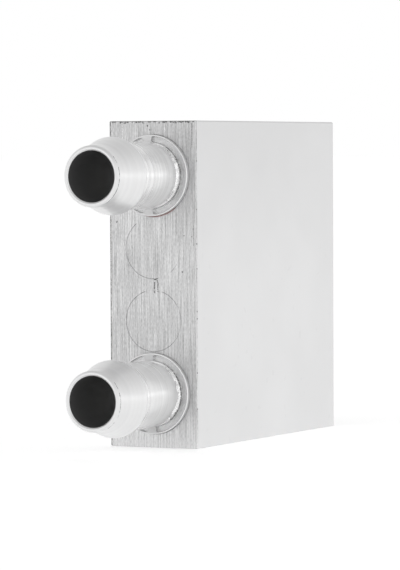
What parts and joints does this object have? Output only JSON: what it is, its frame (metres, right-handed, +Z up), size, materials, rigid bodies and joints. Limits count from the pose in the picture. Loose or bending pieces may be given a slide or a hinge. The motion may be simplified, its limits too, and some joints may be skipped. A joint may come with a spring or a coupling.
{
  "type": "liquid cooling cold plate",
  "caption": "Flat rectangular aluminium liquid cooling block with two barbed hose nozzles on one narrow end and plugged channel mouths.",
  "frame": {"origin": "centre of the narrow side that the block stands on", "axes": "+Z up across the channels, -Y the way the nozzles point, +X and -X out of the two broad heat contact faces"},
  "size_m": [0.012, 0.056, 0.04],
  "materials": {
    "bar_aluminium": "matt broad faces, brushed ends",
    "turned_aluminium": "turned, satin bright",
    "brushed_aluminium": "brushed flush"
  },
  "bodies": {
    "root": {"block_body": "bar_aluminium", "inlet_nozzle": "turned_aluminium", "outlet_nozzle": "turned_aluminium", "front_plug_2": "brushed_aluminium", "front_plug_3": "brushed_aluminium", "rear_plug_1": "brushed_aluminium", "rear_plug_2": "brushed_aluminium", "rear_plug_3": "brushed_aluminium", "rear_plug_4": "brushed_aluminium"}
  },
  "joints": []
}
